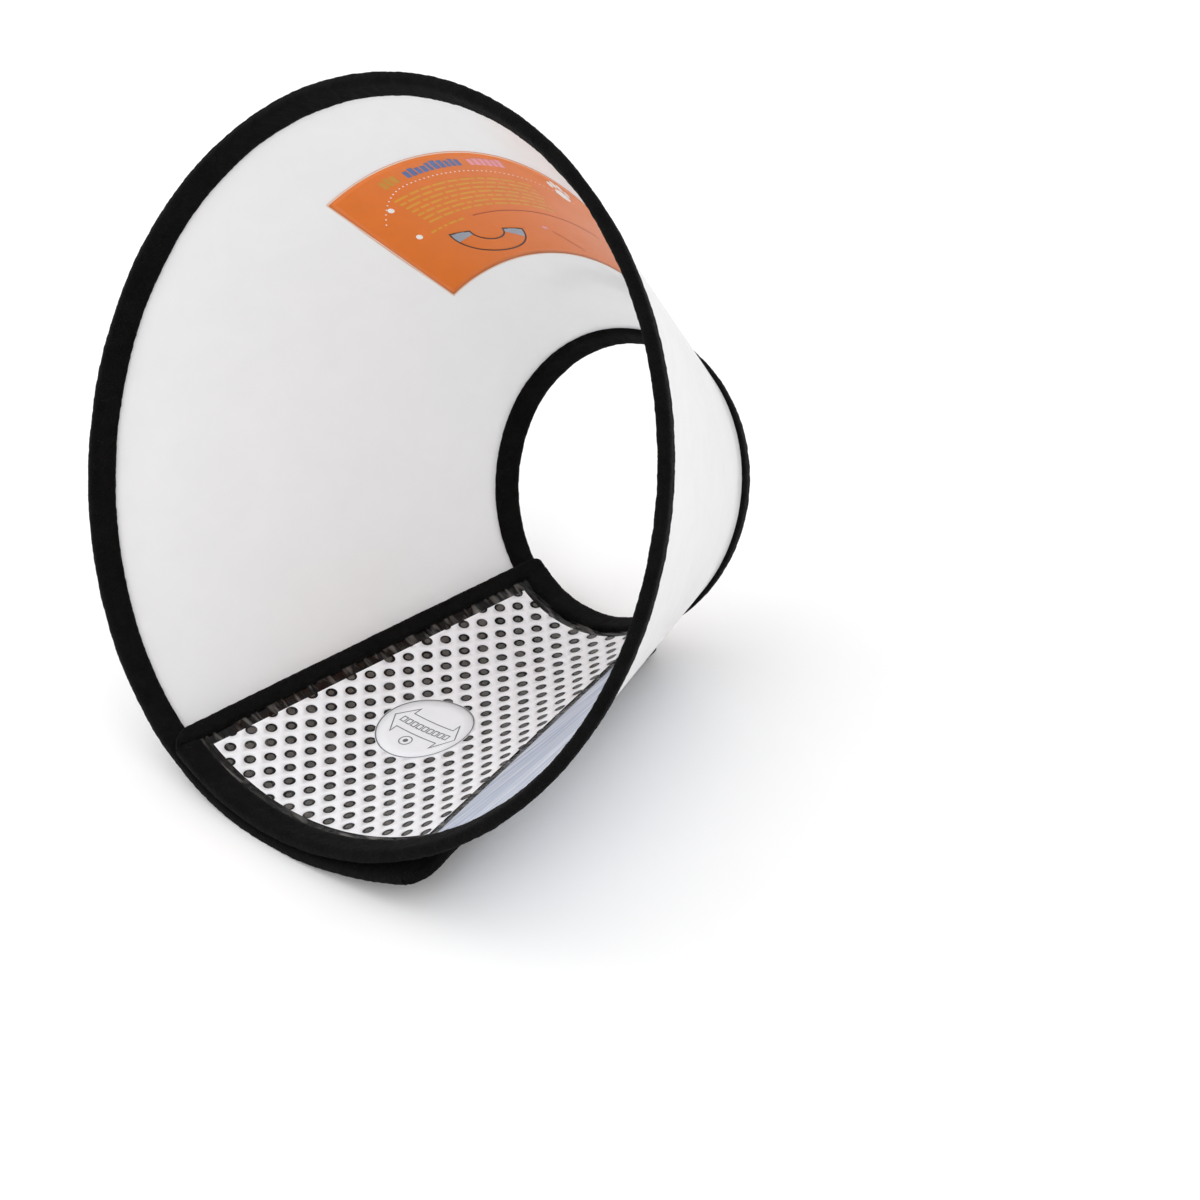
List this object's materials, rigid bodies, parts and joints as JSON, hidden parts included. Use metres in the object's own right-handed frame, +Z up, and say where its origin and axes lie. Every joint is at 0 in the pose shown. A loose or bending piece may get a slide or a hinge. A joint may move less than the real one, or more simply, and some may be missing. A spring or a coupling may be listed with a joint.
{
  "type": "elizabethan collar",
  "caption": "Cone-shaped pet recovery collar in translucent sheet with black plush edging, closed by a hook-and-loop lap and able to unroll flat.",
  "frame": {"origin": "on the floor under the middle of the collar, which lies on its closed lap", "axes": "+Z up; the wide mouth faces -Y and leans up, the neck opening faces +Y, +X to the right seen from the mouth"},
  "size_m": [0.2517, 0.2118, 0.2283],
  "materials": {
    "frosted_sheet": "semi-gloss milky translucent sheet",
    "plush_binding": "matte black plush edge tape",
    "hook_tape": "black moulded hook tape",
    "white_film": "satin white perforated film",
    "printed_disc": "white printed sticker",
    "loop_fleece": "black brushed loop fleece",
    "printed_label": "orange printed sticker"
  },
  "bodies": {
    "base_panel": {"loop_pad_13": "loop_fleece", "neck_binding_13": "plush_binding", "rim_binding_13": "plush_binding", "sheet_13": "frosted_sheet"},
    "panel_00": {"adjust_disc": "printed_disc", "hook_end_binding": "plush_binding", "hook_film_00": "white_film", "hook_tape_00": "hook_tape", "neck_binding_00": "plush_binding", "rim_binding_00": "plush_binding", "sheet_00": "frosted_sheet"},
    "panel_01": {"hook_film_01": "white_film", "hook_tape_01": "hook_tape", "neck_binding_01": "plush_binding", "rim_binding_01": "plush_binding", "sheet_01": "frosted_sheet"},
    "panel_02": {"hook_film_02": "white_film", "hook_tape_02": "hook_tape", "neck_binding_02": "plush_binding", "rim_binding_02": "plush_binding", "sheet_02": "frosted_sheet"},
    "panel_03": {"neck_binding_03": "plush_binding", "rim_binding_03": "plush_binding", "sheet_03": "frosted_sheet"},
    "panel_04": {"neck_binding_04": "plush_binding", "rim_binding_04": "plush_binding", "sheet_04": "frosted_sheet"},
    "panel_05": {"neck_binding_05": "plush_binding", "rim_binding_05": "plush_binding", "sheet_05": "frosted_sheet"},
    "panel_06": {"label_06": "printed_label", "neck_binding_06": "plush_binding", "rim_binding_06": "plush_binding", "sheet_06": "frosted_sheet"},
    "panel_07": {"label_07": "printed_label", "neck_binding_07": "plush_binding", "rim_binding_07": "plush_binding", "sheet_07": "frosted_sheet"},
    "panel_08": {"label_08": "printed_label", "neck_binding_08": "plush_binding", "rim_binding_08": "plush_binding", "sheet_08": "frosted_sheet"},
    "panel_09": {"neck_binding_09": "plush_binding", "rim_binding_09": "plush_binding", "sheet_09": "frosted_sheet"},
    "panel_10": {"neck_binding_10": "plush_binding", "rim_binding_10": "plush_binding", "sheet_10": "frosted_sheet"},
    "panel_11": {"neck_binding_11": "plush_binding", "rim_binding_11": "plush_binding", "sheet_11": "frosted_sheet"},
    "panel_12": {"loop_pad_12": "loop_fleece", "neck_binding_12": "plush_binding", "rim_binding_12": "plush_binding", "sheet_12": "frosted_sheet"},
    "panel_14": {"loop_end_binding": "plush_binding", "loop_pad_14": "loop_fleece", "neck_binding_14": "plush_binding", "rim_binding_14": "plush_binding", "sheet_14": "frosted_sheet"}
  },
  "joints": [
    {"name": "unroll", "type": "hinge", "parent": "base_panel", "child": "panel_12", "pos_m": [-0.02092, -0.02227, 0.00161], "axis": [-0.1049, -0.9944, 0.0114], "range_deg": [0, 24.84]},
    {"name": "flex_11", "type": "hinge", "parent": "panel_12", "child": "panel_11", "pos_m": [-0.05986, -0.0133, 0.02039], "axis": [-0.2907, -0.9517, 0.0991], "range_deg": [0, 24.85]},
    {"name": "flex_10", "type": "hinge", "parent": "panel_11", "child": "panel_10", "pos_m": [-0.08458, 0.00251, 0.05317], "axis": [-0.4099, -0.876, 0.2543], "range_deg": [0, 24.85]},
    {"name": "flex_09", "type": "hinge", "parent": "panel_10", "child": "panel_09", "pos_m": [-0.08954, 0.02145, 0.09239], "axis": [-0.4352, -0.7847, 0.4415], "range_deg": [0, 24.85]},
    {"name": "flex_08", "type": "hinge", "parent": "panel_09", "child": "panel_08", "pos_m": [-0.07375, 0.03915, 0.12905], "axis": [-0.3608, -0.6987, 0.6178], "range_deg": [0, 24.85]},
    {"name": "flex_07", "type": "hinge", "parent": "panel_08", "child": "panel_07", "pos_m": [-0.04096, 0.05154, 0.15483], "axis": [-0.2037, -0.6377, 0.7429], "range_deg": [0, 24.85]},
    {"name": "flex_06", "type": "hinge", "parent": "panel_07", "child": "panel_06", "pos_m": [0.0012, 0.0558, 0.16394], "axis": [0, -0.6157, 0.788], "range_deg": [0, 24.85]},
    {"name": "flex_05", "type": "hinge", "parent": "panel_06", "child": "panel_05", "pos_m": [0.04305, 0.05098, 0.15444], "axis": [0.2037, -0.6377, 0.7429], "range_deg": [0, 24.85]},
    {"name": "flex_04", "type": "hinge", "parent": "panel_05", "child": "panel_04", "pos_m": [0.07503, 0.03822, 0.12865], "axis": [0.3608, -0.6987, 0.6178], "range_deg": [0, 24.85]},
    {"name": "flex_03", "type": "hinge", "parent": "panel_04", "child": "panel_03", "pos_m": [0.08992, 0.02045, 0.0926], "axis": [0.4352, -0.7847, 0.4415], "range_deg": [0, 24.85]},
    {"name": "flex_02", "type": "hinge", "parent": "panel_03", "child": "panel_02", "pos_m": [0.08445, 0.00174, 0.05461], "axis": [0.4099, -0.876, 0.2543], "range_deg": [0, 24.85]},
    {"name": "flex_01", "type": "hinge", "parent": "panel_02", "child": "panel_01", "pos_m": [0.06001, -0.01367, 0.02339], "axis": [0.2907, -0.9517, 0.0991], "range_deg": [0, 23.89]},
    {"name": "flex_00", "type": "hinge", "parent": "panel_01", "child": "panel_00", "pos_m": [0.02555, -0.02195, 0.0068], "axis": [0.1208, -0.9926, 0.0153], "range_deg": [0, 28.84]},
    {"name": "flex_13", "type": "hinge", "parent": "base_panel", "child": "panel_14", "pos_m": [0.0234, -0.02227, 0.00125], "axis": [-0.1049, 0.9944, -0.0114], "range_deg": [0, 20.85]}
  ],
  "couplings": [
    {"joint": "flex_11", "follows": "unroll", "ratio": 1},
    {"joint": "flex_10", "follows": "unroll", "ratio": 1},
    {"joint": "flex_09", "follows": "unroll", "ratio": 1},
    {"joint": "flex_08", "follows": "unroll", "ratio": 1},
    {"joint": "flex_07", "follows": "unroll", "ratio": 1},
    {"joint": "flex_06", "follows": "unroll", "ratio": 1},
    {"joint": "flex_05", "follows": "unroll", "ratio": 1},
    {"joint": "flex_04", "follows": "unroll", "ratio": 1},
    {"joint": "flex_03", "follows": "unroll", "ratio": 1},
    {"joint": "flex_02", "follows": "unroll", "ratio": 1},
    {"joint": "flex_01", "follows": "unroll", "ratio": 0.96124},
    {"joint": "flex_00", "follows": "unroll", "ratio": 1.1606},
    {"joint": "flex_13", "follows": "unroll", "ratio": 0.83895}
  ]
}
